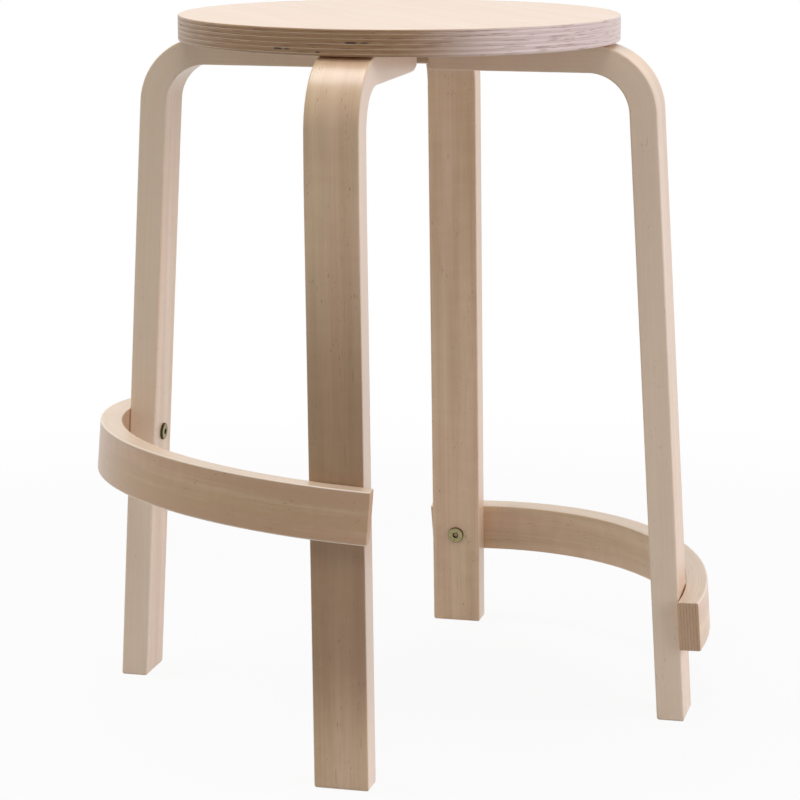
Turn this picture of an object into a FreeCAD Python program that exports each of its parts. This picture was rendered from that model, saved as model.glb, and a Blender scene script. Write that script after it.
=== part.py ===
import FreeCAD, Part
import math
import os

# A counter-height stacking stool: a round plywood seat on four bent legs, with two curved footrests.
# Millimetres. The floor is z = 0 and the stool's middle line is the Z axis.

# Seat
seat_diameter = 380.0
seat_height = 610.0
seat_thickness = 22.0
seat_edge_radius = 1.6

# Legs: one bent bar each, an arm under the seat and a shank that splays to the floor. Both
# footrests are the same part, so the upper one, where the shanks stand closer, spreads its
# two legs, and their shanks lean apart sideways below the bend
leg_width = 46.0
leg_thickness = 24.0
leg_splay = 3.6
bend_radius = 60.0
foot_reach = 262.0
arm_end_gap = 60.0
arris_radius = 2.0
arm_tip_radius = 4.4
arm_end_radius = 2.8
foot_edge_radius = 1.8

# Footrests: arcs of glued layers, bolted to the outer faces of two neighbouring legs
footrest_height = 44.0
footrest_thickness = 19.0
footrest_overhang = 6.0
footrest_edge_radius = 1.2
footrest_seat_clearance = 0.1
upper_footrest_centre_height = 230.0
lower_footrest_centre_height = 90.0

# Footrest bolts and the threaded inserts that they run into
bolt_diameter = 6.0
bolt_head_diameter = 15.0
bolt_head_height = 2.4
bolt_head_edge_radius = 1.1
bolt_socket_across_flats = 4.0
bolt_socket_depth = 2.8
bolt_engagement = 11.0
bolt_hole_clearance = 0.5
bolt_tip_chamfer = 0.8
insert_diameter = 10.0
insert_length = 13.0
insert_core_diameter = 8.4
insert_flange_thickness = 1.2
insert_ridge_pitch = 2.6
insert_ridge_width = 1.6
insert_hole_clearance = 0.1
insert_bore_clearance = 0.1
insert_hole_extra_depth = 0.6

# Countersunk screws that hold each arm to the seat
screw_diameter = 5.0
screw_length = 40.0
screw_head_diameter = 9.6
screw_head_rim = 0.5
screw_tip_length = 4.0
screw_recess_span = 4.6
screw_recess_width = 1.1
screw_recess_depth = 2.0
screw_hole_clearance = 0.15
screw_end_margin = 25.0
screw_spacing = 45.0
screw_names = ("inner", "middle", "outer")

# How far a cutting shape runs on past the face that it opens
cut_overrun = 1.0

# Directions seen from above, in degrees from +X: the two footrests face opposite ways, each
# halfway between its first leg and its second
footrest_heading = {"upper": 225.0, "lower": 45.0}
footrest_legs = {"upper": ("left", "front"), "lower": ("right", "rear")}
footrest_level = {"upper": upper_footrest_centre_height, "lower": lower_footrest_centre_height}
half_leg_angle = 45.0

# Worked out from the sizes above
seat_underside = seat_height - seat_thickness
arm_underside = seat_underside - leg_thickness
arm_tip = arm_end_gap / 2.0
splay = math.radians(leg_splay)
footrest_tilt = math.atan(math.tan(splay) / math.cos(math.radians(half_leg_angle)))
lean_start = seat_underside - bend_radius
bolt_head_start = leg_thickness + bolt_head_height

ORIGIN = FreeCAD.Vector(0.0, 0.0, 0.0)
AXIS_X = FreeCAD.Vector(1.0, 0.0, 0.0)
AXIS_Y = FreeCAD.Vector(0.0, 1.0, 0.0)
AXIS_Z = FreeCAD.Vector(0.0, 0.0, 1.0)


def shank_reach(level):
    """Distance from the Z axis to the outer face of a shank at a height."""
    return foot_reach - level * math.tan(splay)


def sideways_spread(level):
    """How far a footrest pushes its legs sideways, at its own height."""
    return shank_reach(lower_footrest_centre_height) - shank_reach(level)


def sideways_slope(level):
    """Sideways lean of a shank, as offset per height below the start of the lean."""
    return sideways_spread(level) / (lean_start - level)


def footrest_seat_distance():
    """Square distance from a footrest's own centre to the outer face of each of its legs."""
    return shank_reach(lower_footrest_centre_height) / math.cos(splay)


def footrest_inner_radius():
    """Inner radius that touches both long edges of each leg's outer face.

    A leaning leg crosses the footrest at the splay angle and its lean together, so across the
    footrest's height the leg's edges reach a little further to each side.
    """
    lean = math.atan(sideways_slope(upper_footrest_centre_height))
    reach_aside = footrest_height / 2.0 * math.tan(splay + abs(lean))
    half_width = leg_width / 2.0 - arris_radius + reach_aside
    return math.hypot(footrest_seat_distance(), half_width) + footrest_seat_clearance


def footrest_gap():
    """Gap behind a footrest at the middle of the leg's flat face."""
    return footrest_inner_radius() - footrest_seat_distance()


def rounded_outline(corners):
    """Close a wire round the corners (point, radius): an arc at each, or a sharp corner at radius 0."""
    edges = []
    count = len(corners)
    arcs = []
    for index, (point, radius) in enumerate(corners):
        before = (corners[index - 1][0] - point).normalize()
        after = (corners[(index + 1) % count][0] - point).normalize()
        half_angle = before.getAngle(after) / 2.0
        setback = radius / math.tan(half_angle)
        bisector = (before + after).normalize()
        centre = point + bisector * (radius / math.sin(half_angle))
        arcs.append((point + before * setback, centre - bisector * radius, point + after * setback))
    for index, (start, middle, end) in enumerate(arcs):
        if corners[index][1] > 0.0:
            edges.append(Part.Arc(start, middle, end).toShape())
        edges.append(Part.makeLine(end, arcs[(index + 1) % count][0]))
    return Part.Wire(edges)


def long_edges(bar):
    """Edges of a leg's bar along its two side planes, without those round the foot."""
    found = []
    for edge in bar.Edges:
        in_side_plane = edge.BoundBox.YLength < 1e-6
        if in_side_plane and edge.BoundBox.ZMax > 1e-6:
            found.append(edge)
    return found


def foot_edges(bar):
    """Edges round the level foot of a leg."""
    return [edge for edge in bar.Edges if edge.BoundBox.ZMax < 1e-6]


def leg_places(name):
    """Heading of each leg under a footrest, and the side to which it is spread."""
    return [(footrest_heading[name] + side * half_leg_angle, side) for side in (-1.0, 1.0)]


def seat_screw_positions():
    """Distances of the seat screws from the Z axis along an arm."""
    first = arm_tip + screw_end_margin
    return [first + screw_spacing * index for index in range(len(screw_names))]


def screw_head_height():
    """Height of the countersunk head, whose cone takes in 90 degrees."""
    return screw_head_rim + (screw_head_diameter - screw_diameter) / 2.0


def screw_form(extra):
    """Screw standing on z = 0 with its head down, grown all round by an extra size."""
    rim = screw_head_diameter / 2.0 + extra
    shank = screw_diameter / 2.0 + extra
    neck = screw_head_height() + extra
    outline = Part.makePolygon([
        ORIGIN,
        FreeCAD.Vector(rim, 0.0, 0.0),
        FreeCAD.Vector(rim, 0.0, screw_head_rim),
        FreeCAD.Vector(shank, 0.0, neck),
        FreeCAD.Vector(shank, 0.0, screw_length - screw_tip_length + extra),
        FreeCAD.Vector(0.0, 0.0, screw_length + extra),
        ORIGIN,
    ])
    return Part.Face(outline).revolve(ORIGIN, AXIS_Z, 360)


def seat_screw(distance, heading):
    """One seat screw, its head flush with the arm's underside."""
    body = screw_form(0.0)
    for turn in (0.0, 90.0):
        slot = Part.makeBox(screw_recess_span, screw_recess_width, screw_recess_depth,
                            FreeCAD.Vector(-screw_recess_span / 2.0, -screw_recess_width / 2.0, 0.0))
        slot.rotate(ORIGIN, AXIS_Z, turn)
        body = body.cut(slot)
    body.translate(FreeCAD.Vector(distance, 0.0, arm_underside))
    body.rotate(ORIGIN, AXIS_Z, heading)
    return body


def seat_screw_hole(distance, heading):
    """Hole for a seat screw through the arm and into the seat."""
    hole = screw_form(screw_hole_clearance)
    hole.translate(FreeCAD.Vector(distance, 0.0, arm_underside))
    hole.rotate(ORIGIN, AXIS_Z, heading)
    return hole


def seat():
    """Round plywood seat with eased edges and pilot holes from below."""
    disc = Part.makeCylinder(seat_diameter / 2.0, seat_thickness,
                             FreeCAD.Vector(0.0, 0.0, seat_underside))
    rims = [edge for edge in disc.Edges if isinstance(edge.Curve, Part.Circle)]
    disc = disc.makeFillet(seat_edge_radius, rims)
    for name in footrest_legs:
        for heading, _ in leg_places(name):
            for distance in seat_screw_positions():
                disc = disc.cut(seat_screw_hole(distance, heading))
    return disc


def place_on_shank(shape, level, heading, side):
    """Move a shape built along +X, with the shank's outer face at x = 0, to its leg's footrest bolt."""
    shape.rotate(ORIGIN, AXIS_Y, -leg_splay)
    shape.translate(FreeCAD.Vector(shank_reach(level), side * sideways_spread(level), level))
    shape.rotate(ORIGIN, AXIS_Z, heading)
    return shape


def lean_shank(bar, slope):
    """Lean a leg's shank sideways, from the section at the start of the lean down to the floor."""
    below = Part.makeBox(2.0 * foot_reach, 2.0 * leg_width, lean_start,
                         FreeCAD.Vector(-foot_reach / 2.0, -leg_width, 0.0))
    section = Part.Face(bar.slice(AXIS_Z, lean_start))
    down = FreeCAD.Vector(lean_start * math.tan(splay), lean_start * slope, -lean_start)
    return bar.cut(below).fuse(section.extrude(down)).removeSplitter()


def leg(heading, level, side):
    """Bent leg: level-cut foot, splayed shank, round bend and arm under the seat."""
    inner_foot = foot_reach - leg_thickness / math.cos(splay)
    outer_top = foot_reach - seat_underside * math.tan(splay)
    inner_top = inner_foot - arm_underside * math.tan(splay)
    outline = rounded_outline([
        (FreeCAD.Vector(foot_reach, 0.0, 0.0), 0.0),
        (FreeCAD.Vector(outer_top, 0.0, seat_underside), bend_radius),
        (FreeCAD.Vector(arm_tip, 0.0, seat_underside), arm_end_radius),
        (FreeCAD.Vector(arm_tip, 0.0, arm_underside), arm_tip_radius),
        (FreeCAD.Vector(inner_top, 0.0, arm_underside), bend_radius - leg_thickness),
        (FreeCAD.Vector(inner_foot, 0.0, 0.0), 0.0),
    ])
    outline.translate(FreeCAD.Vector(0.0, -leg_width / 2.0, 0.0))
    bar = Part.Face(outline).extrude(FreeCAD.Vector(0.0, leg_width, 0.0))
    bar = bar.makeFillet(arris_radius, long_edges(bar))
    if sideways_spread(level) != 0.0:
        bar = lean_shank(bar, side * sideways_slope(level))
    bar = bar.makeFillet(foot_edge_radius, foot_edges(bar))
    bar.rotate(ORIGIN, AXIS_Z, heading)
    for distance in seat_screw_positions():
        bar = bar.cut(seat_screw_hole(distance, heading))
    hole_radius = (bolt_diameter + bolt_hole_clearance) / 2.0
    hole = Part.makeCylinder(hole_radius, leg_thickness + 2.0 * cut_overrun,
                             FreeCAD.Vector(-leg_thickness - cut_overrun, 0.0, 0.0), AXIS_X)
    return bar.cut(place_on_shank(hole, level, heading, side))


def footrest_form():
    """Arc-shaped footrest about its own centre at the origin, facing +X and tilted to its splayed legs."""
    inner = footrest_inner_radius()
    outer = inner + footrest_thickness
    leg_angle = math.acos(math.cos(footrest_tilt) * math.cos(splay) * math.cos(math.radians(half_leg_angle))
                          + math.sin(footrest_tilt) * math.sin(splay))
    end_angle = leg_angle + math.asin((leg_width / 2.0 + footrest_overhang) / inner)
    corner = {}
    for face, radius in (("inner", inner), ("outer", outer)):
        for part, angle in (("start", -end_angle), ("middle", 0.0), ("end", end_angle)):
            corner[face, part] = FreeCAD.Vector(radius * math.cos(angle), radius * math.sin(angle), 0.0)
    outline = Part.Wire([
        Part.Arc(corner["inner", "start"], corner["inner", "middle"], corner["inner", "end"]).toShape(),
        Part.makeLine(corner["inner", "end"], corner["outer", "end"]),
        Part.Arc(corner["outer", "end"], corner["outer", "middle"], corner["outer", "start"]).toShape(),
        Part.makeLine(corner["outer", "start"], corner["inner", "start"]),
    ])
    outline.translate(FreeCAD.Vector(0.0, 0.0, -footrest_height / 2.0))
    arc = Part.Face(outline).extrude(FreeCAD.Vector(0.0, 0.0, footrest_height))
    arc = arc.makeFillet(footrest_edge_radius, arc.Edges)
    arc.rotate(ORIGIN, AXIS_Y, -math.degrees(footrest_tilt))
    return arc


def footrest(name):
    """Footrest on its two legs, with a hole for a threaded insert behind each of them."""
    level = footrest_level[name]
    arc = footrest_form()
    aside = sideways_spread(level) / math.cos(math.radians(half_leg_angle))
    arc.translate(FreeCAD.Vector(-aside, 0.0, level - footrest_seat_distance() * math.sin(splay)))
    arc.rotate(ORIGIN, AXIS_Z, footrest_heading[name])
    for heading, side in leg_places(name):
        hole = Part.makeCylinder(insert_diameter / 2.0 + insert_hole_clearance,
                                 insert_length + insert_hole_extra_depth + cut_overrun,
                                 FreeCAD.Vector(footrest_gap() - cut_overrun, 0.0, 0.0), AXIS_X)
        arc = arc.cut(place_on_shank(hole, level, heading, side))
    return arc


def footrest_bolt(level, heading, side):
    """Flat-headed bolt with a hexagon socket, from the leg's inner face outwards."""
    head = Part.makeCylinder(bolt_head_diameter / 2.0, bolt_head_height,
                             FreeCAD.Vector(-bolt_head_start, 0.0, 0.0), AXIS_X)
    outer_rim = [edge for edge in head.Edges
                 if isinstance(edge.Curve, Part.Circle) and edge.CenterOfMass.x < -leg_thickness - 1e-6]
    head = head.makeFillet(bolt_head_edge_radius, outer_rim)
    length = leg_thickness + footrest_gap() + bolt_engagement
    shank = Part.makeCylinder(bolt_diameter / 2.0, length,
                              FreeCAD.Vector(-leg_thickness, 0.0, 0.0), AXIS_X)
    tip = [edge for edge in shank.Edges
           if isinstance(edge.Curve, Part.Circle) and edge.CenterOfMass.x > -leg_thickness + 1e-6]
    shank = shank.makeChamfer(bolt_tip_chamfer, tip)
    corner_radius = bolt_socket_across_flats / math.sqrt(3.0)
    corners = []
    for index in range(7):
        angle = math.radians(60.0 * index)
        corners.append(FreeCAD.Vector(-bolt_head_start, corner_radius * math.cos(angle),
                                      corner_radius * math.sin(angle)))
    socket = Part.Face(Part.makePolygon(corners)).extrude(AXIS_X * bolt_socket_depth)
    return place_on_shank(head.fuse(shank).removeSplitter().cut(socket), level, heading, side)


def threaded_insert(level, heading, side):
    """Steel insert with cutting ridges outside and a threaded bore, set in the footrest."""
    start = footrest_gap()
    core = insert_core_diameter / 2.0
    crest = insert_diameter / 2.0
    bore = bolt_diameter / 2.0 + insert_bore_clearance
    flange_end = start + insert_flange_thickness
    half_ridge = insert_ridge_width / 2.0
    points = [(start, bore), (start, crest), (flange_end, crest), (flange_end, core)]
    ridges = int((insert_length - insert_flange_thickness) / insert_ridge_pitch)
    for index in range(ridges):
        top = flange_end + insert_ridge_pitch * (index + 0.5)
        points += [(top - half_ridge, core), (top, crest), (top + half_ridge, core)]
    points += [(start + insert_length, core), (start + insert_length, bore), (start, bore)]
    outline = Part.makePolygon([FreeCAD.Vector(x, y, 0.0) for x, y in points])
    return place_on_shank(Part.Face(outline).revolve(ORIGIN, AXIS_X, 360), level, heading, side)


def build():
    """Make every piece of the stool, by node name."""
    pieces = {"seat": seat()}
    for name, leg_names in footrest_legs.items():
        level = footrest_level[name]
        pieces["footrest_" + name] = footrest(name)
        for leg_name, (heading, side) in zip(leg_names, leg_places(name)):
            pieces["leg_" + leg_name] = leg(heading, level, side)
            pieces["footrest_bolt_" + leg_name] = footrest_bolt(level, heading, side)
            pieces["threaded_insert_" + leg_name] = threaded_insert(level, heading, side)
            for screw_name, distance in zip(screw_names, seat_screw_positions()):
                pieces["seat_screw_" + leg_name + "_" + screw_name] = seat_screw(distance, heading)
    return pieces


os.makedirs("parts", exist_ok=True)
for node, piece in build().items():
    solid = piece.Solids[0]
    print(node, "valid", solid.isValid(), "solids", len(piece.Solids), "volume", round(solid.Volume))
    solid.exportStep("parts/" + node + ".step")
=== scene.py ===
import logging
import math
import random
from dataclasses import dataclass, field
from enum import Enum
from typing import Any, Callable, Union

import bmesh
import bpy
from mathutils import Matrix, Vector


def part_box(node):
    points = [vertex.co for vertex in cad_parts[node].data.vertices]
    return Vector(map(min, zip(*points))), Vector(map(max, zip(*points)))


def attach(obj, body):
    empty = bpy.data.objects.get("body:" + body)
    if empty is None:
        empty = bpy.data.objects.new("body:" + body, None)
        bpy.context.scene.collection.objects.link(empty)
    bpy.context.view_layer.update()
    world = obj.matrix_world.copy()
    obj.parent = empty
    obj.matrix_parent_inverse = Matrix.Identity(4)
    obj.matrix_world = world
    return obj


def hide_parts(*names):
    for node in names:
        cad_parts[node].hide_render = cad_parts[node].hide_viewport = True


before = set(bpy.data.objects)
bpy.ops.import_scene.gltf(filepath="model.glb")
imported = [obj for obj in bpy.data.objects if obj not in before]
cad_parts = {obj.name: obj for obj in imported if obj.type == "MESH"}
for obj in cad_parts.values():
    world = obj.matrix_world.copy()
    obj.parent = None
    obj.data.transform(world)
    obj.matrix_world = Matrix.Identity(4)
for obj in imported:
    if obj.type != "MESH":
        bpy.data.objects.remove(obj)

ROOT = "root"
LOG = logging.getLogger("stool")

# Lengths are in metres. Finishes and grain work in millimetres.
MM = 0.001
# Distance from a rounded edge to the extra row of points that keeps the flat beside it flat.
SUPPORT = 0.0006
# A face belongs to a bar's end when its normal points along the bar by more than this share.
END_FACING = 0.7
# Facets of a rounded arris, and facets round a fastener.
ARRIS_STEPS = 5
AROUND = 48
# Radius that closes a fastener's tip.
TIP_RADIUS = 0.0004
# Lengths and shares below this count as none.
NEXT_TO_NOTHING = 1e-6
COOL_LIGHT = (1.0, 0.95, 1.1)

Rgba = tuple[float, float, float, float]
Triple = tuple[float, float, float]
Pair = tuple[float, float]
Ring = list[Vector]


def grey(value: float) -> Rgba:
    """A neutral colour in the shader's linear scale."""
    return value, value, value, 1.0


def rgb(red: int, green: int, blue: int) -> Rgba:
    """Turn a colour as a picture writes it, 0 to 255, into the shader's linear scale.

    Args:
        red: Red, 0 to 255.
        green: Green, 0 to 255.
        blue: Blue, 0 to 255.

    Returns:
        The linear colour with an alpha of 1.
    """
    def linear(value: int) -> float:
        """One channel of the sRGB curve."""
        share = value / 255.0
        return share / 12.92 if share <= 0.04045 else ((share + 0.055) / 1.055) ** 2.4

    return linear(red), linear(green), linear(blue), 1.0


class Wire:
    """An output of a node, which takes part in sums as a number does."""

    def __init__(self, nodes: "Nodes", socket: bpy.types.NodeSocket) -> None:
        """Wrap one socket of a tree."""
        self.nodes = nodes
        self.socket = socket

    def __add__(self, other: "Value") -> "Wire":
        """Sum."""
        return self.nodes.maths("ADD", self, other)

    def __radd__(self, other: "Value") -> "Wire":
        """Sum, with a number first."""
        return self.nodes.maths("ADD", other, self)

    def __sub__(self, other: "Value") -> "Wire":
        """Difference."""
        return self.nodes.maths("SUBTRACT", self, other)

    def __rsub__(self, other: "Value") -> "Wire":
        """Difference, with a number first."""
        return self.nodes.maths("SUBTRACT", other, self)

    def __mul__(self, other: "Value") -> "Wire":
        """Product."""
        return self.nodes.maths("MULTIPLY", self, other)

    def __truediv__(self, other: "Value") -> "Wire":
        """Quotient."""
        return self.nodes.maths("DIVIDE", self, other)

    def __pow__(self, other: "Value") -> "Wire":
        """Power."""
        return self.nodes.maths("POWER", self, other)

    def __abs__(self) -> "Wire":
        """Size without its sign."""
        return self.nodes.maths("ABSOLUTE", self)


Value = Union[Wire, float]


@dataclass(frozen=True)
class Noise:
    """Soft noise, 0 to 1. Its patch sizes and its shift are in millimetres.

    detail is how many finer layers are added, rough how strong they are, and twist how far the
    noise is pulled about.
    """

    size: Triple
    detail: float = 2.0
    rough: float = 0.5
    twist: float = 0.0
    shift: Triple = (0.0, 0.0, 0.0)


class Nodes:
    """A node tree that is being filled: a finish's, the surroundings' or a shape's."""

    def __init__(self, tree: bpy.types.NodeTree) -> None:
        """Take a tree and empty it."""
        self.tree = tree
        tree.nodes.clear()

    def node(self, kind: str, settings: dict[str, Any] | None = None,
             inputs: dict[Any, Any] | None = None) -> bpy.types.Node:
        """Add a node.

        Args:
            kind: The node's type.
            settings: Its own settings, and "stops" for a colour ramp's (place, colour) pairs.
            inputs: What goes into its sockets, by number or by name: a value or a wire.

        Returns:
            The new node.
        """
        made = self.tree.nodes.new(kind)
        for key, value in (settings or {}).items():
            if key == "stops":
                self._set_stops(made.color_ramp, value)
            else:
                setattr(made, key, value)
        for key, value in (inputs or {}).items():
            if isinstance(key, int):
                socket = made.inputs[key]
            else:
                socket = next(item for item in made.inputs if item.name == key and item.enabled)
            if isinstance(value, Wire):
                self.tree.links.new(value.socket, socket)
            else:
                socket.default_value = value
        return made

    @staticmethod
    def _set_stops(ramp: bpy.types.ColorRamp, stops: list[tuple[float, Rgba]]) -> None:
        """Give a colour ramp its stops.

        Args:
            ramp: The ramp, which starts with two stops.
            stops: Place and colour of each, two or more.
        """
        while len(ramp.elements) < len(stops):
            ramp.elements.new(1.0)
        for element, (place, colour) in zip(ramp.elements, stops):
            element.position = place
            element.color = colour

    def wire(self, kind: str, settings: dict[str, Any] | None = None,
             inputs: dict[Any, Any] | None = None, output: int | str = 0) -> Wire:
        """Add a node and take one of its outputs, by number or by name."""
        return Wire(self, self.node(kind, settings, inputs).outputs[output])

    def maths(self, operation: str, *values: Value) -> Wire:
        """Work out one sum of wires and numbers."""
        return self.wire("ShaderNodeMath", {"operation": operation}, dict(enumerate(values)))

    def seen(self) -> Wire:
        """1 where the camera or a gloss sees the thing itself, else 0."""
        path = self.node("ShaderNodeLightPath")
        return self.maths("MAXIMUM", Wire(self, path.outputs["Is Camera Ray"]),
                          Wire(self, path.outputs["Is Glossy Ray"]))


class Recipe(Nodes):
    """The node tree of one finish."""

    def __init__(self, name: str) -> None:
        """Start an empty material of that name."""
        self.material = bpy.data.materials.new(name)
        self.material.use_nodes = True
        super().__init__(self.material.node_tree)

    def limit(self, value: Value, low: float = 0.0, high: float = 1.0) -> Wire:
        """Keep a value between two numbers."""
        return self.wire("ShaderNodeClamp", None, {0: value, 1: low, 2: high})

    def rise(self, value: Value, low: float, high: float) -> Wire:
        """Smooth step.

        Args:
            value: What is compared.
            low: Where the step is 0.
            high: Where it is 1, which may be the smaller of the two.

        Returns:
            The step, 0 to 1.
        """
        start, end = (0.0, 1.0) if low <= high else (1.0, 0.0)
        return self.wire("ShaderNodeMapRange", {"interpolation_type": "SMOOTHSTEP"},
                         {0: value, 1: min(low, high), 2: max(low, high), 3: start, 4: end})

    def vector(self, x: Value, y: Value, z: Value) -> Wire:
        """Join three values to a vector."""
        return self.wire("ShaderNodeCombineXYZ", None, {0: x, 1: y, 2: z})

    def parts(self, vector: Wire) -> tuple[Wire, Wire, Wire]:
        """Split a vector into its three values."""
        made = self.node("ShaderNodeSeparateXYZ", None, {0: vector})
        return Wire(self, made.outputs[0]), Wire(self, made.outputs[1]), Wire(self, made.outputs[2])

    def moved(self, vector: Wire, step: Triple) -> Wire:
        """Add a fixed step to a vector."""
        return self.wire("ShaderNodeVectorMath", {"operation": "ADD"}, {0: vector, 1: step})

    def scaled(self, vector: Wire, factors: Triple) -> Wire:
        """Multiply a vector, one factor for each value."""
        return self.wire("ShaderNodeVectorMath", {"operation": "MULTIPLY"}, {0: vector, 1: factors})

    def millimetres(self) -> Wire:
        """Place on the piece in millimetres, from its Object coordinates."""
        place = self.wire("ShaderNodeTexCoord", output=3)
        return self.scaled(place, (1.0 / MM, 1.0 / MM, 1.0 / MM))

    def grain_place(self) -> Wire:
        """Place in a bar's own wood in millimetres: along it, across it and in from its outer face."""
        stored = self.wire("ShaderNodeAttribute", {"attribute_name": "grain"}, output=1)
        return self.scaled(stored, (1.0 / MM, 1.0 / MM, 1.0 / MM))

    def stored(self, name: str) -> Wire:
        """A number that the mesh stores under a name."""
        return self.wire("ShaderNodeAttribute", {"attribute_name": name}, output=2)

    def luck(self, number: Wire) -> Wire:
        """A fixed number between 0 and 1 for each whole number."""
        return self.wire("ShaderNodeTexWhiteNoise", {"noise_dimensions": "1D"}, {1: number})

    def noise(self, where: Wire, look: Noise) -> Wire:
        """Soft noise at a place.

        Args:
            where: Place on the piece, in millimetres.
            look: Sizes and strength of the noise.

        Returns:
            The noise, 0 to 1.
        """
        there = self.moved(where, look.shift) if any(look.shift) else where
        squeezed = self.scaled(there, tuple(1.0 / length for length in look.size))
        return self.wire("ShaderNodeTexNoise", None,
                         {0: squeezed, 2: 1.0, 3: look.detail, 4: look.rough, 8: look.twist})

    def ramp(self, value: Value, stops: list[tuple[float, Rgba]]) -> Wire:
        """Turn a value into a colour."""
        return self.wire("ShaderNodeValToRGB", {"stops": stops}, {0: value})

    def mix(self, share: Value, first: Any, second: Any, blend: str = "MIX") -> Wire:
        """Mix two colours, each a wire or a colour."""
        return self.wire("ShaderNodeMix", {"data_type": "RGBA", "blend_type": blend},
                         {0: share, 6: first, 7: second}, output=2)

    def surface(self, look: "Look", depth: float, constants: dict[str, float],
                metallic: float = 0.0) -> bpy.types.Material:
        """Join colour, roughness and relief in one surface shader.

        Args:
            look: Colour, roughness and relief.
            depth: Real depth of the relief, in metres.
            constants: Sockets of the shader that are the same all over, by name.
            metallic: Metallic.

        Returns:
            The finished material.
        """
        bump = self.wire("ShaderNodeBump", None, {0: 1.0, 1: depth, 3: look.height})
        shader = self.wire("ShaderNodeBsdfPrincipled", None, {
            "Base Color": look.colour, "Roughness": look.roughness, "Metallic": metallic,
            "Normal": bump, **constants})
        self.node("ShaderNodeOutputMaterial", None, {0: shader})
        return self.material


@dataclass(frozen=True)
class Look:
    """What a finish gives to the surface shader. The height is a relief, 0 to 1."""

    colour: Wire
    roughness: Wire
    height: Wire


@dataclass(frozen=True)
class Finish:
    """A surface finish, known by its material's name."""

    name: str

    def make(self) -> bpy.types.Material:
        """Build the material."""
        raise NotImplementedError


@dataclass(frozen=True)
class BirchColours:
    """Colours of birch under a clear matt lacquer."""

    deep: Rgba = rgb(184, 146, 107)
    body: Rgba = rgb(222, 193, 158)
    pale: Rgba = rgb(240, 222, 199)
    pink: Rgba = rgb(228, 190, 168)
    straw: Rgba = rgb(216, 194, 156)
    late_wood: Rgba = rgb(184, 144, 110)
    fleck: Rgba = rgb(104, 64, 44)
    streak: Rgba = rgb(170, 118, 88)
    end_grain: Rgba = rgb(188, 154, 120)


@dataclass(frozen=True)
class Grain:
    """One scale of the grain, with its share in the tone, the roughness and the relief."""

    noise: Noise
    tone: float
    roughness: float = 0.0
    height: float = 0.0


@dataclass(frozen=True)
class Dashes:
    """Scattered short dark dashes that lie along the grain, gathered in patches."""

    dash: Noise
    patch: Noise
    low: float
    high: float

    def spread(self, recipe: Recipe, where: Wire) -> Wire:
        """How dark the dashes are at a place, 0 to 1."""
        dash = recipe.rise(recipe.noise(where, self.dash), self.low, self.high)
        return dash * recipe.rise(recipe.noise(where, self.patch), 0.52, 0.66)


FIBRE = Grain(Noise((22.0, 0.36, 0.36), rough=0.6), 0.26, 0.16, 0.7)
STRAND = Grain(Noise((150.0, 2.4, 2.4)), 0.34, 0.16)
BAND = Grain(Noise((260.0, 13.0, 13.0), rough=0.4), 0.85)
RIPPLE = Grain(Noise((11.0, 26.0, 26.0), 1.0, 0.4, 0.6), 0.2, 0.0, 0.25)
RING_DRIFT = Noise((210.0, 17.0, 17.0), 2.0, 0.45)
HUE_DRIFT = Noise((170.0, 21.0, 21.0), 1.0, shift=(51.0, 23.0, 7.0))
FLECKS = Dashes(Noise((5.0, 0.7, 0.9), 0.0), Noise((30.0, 12.0, 12.0), 1.0), 0.73, 0.79)
STREAKS = Dashes(Noise((30.0, 1.1, 2.4), 0.0, shift=(311.0, 47.0, 83.0)),
                 Noise((110.0, 16.0, 16.0), 1.0, shift=(311.0, 47.0, 83.0)), 0.72, 0.80)
PORES = Noise((0.35, 0.35, 0.35), 1.0)
LACQUER = {"IOR": 1.5, "Coat Weight": 0.5, "Coat Roughness": 0.28}
WOOD_RELIEF = 0.05 * MM


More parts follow.
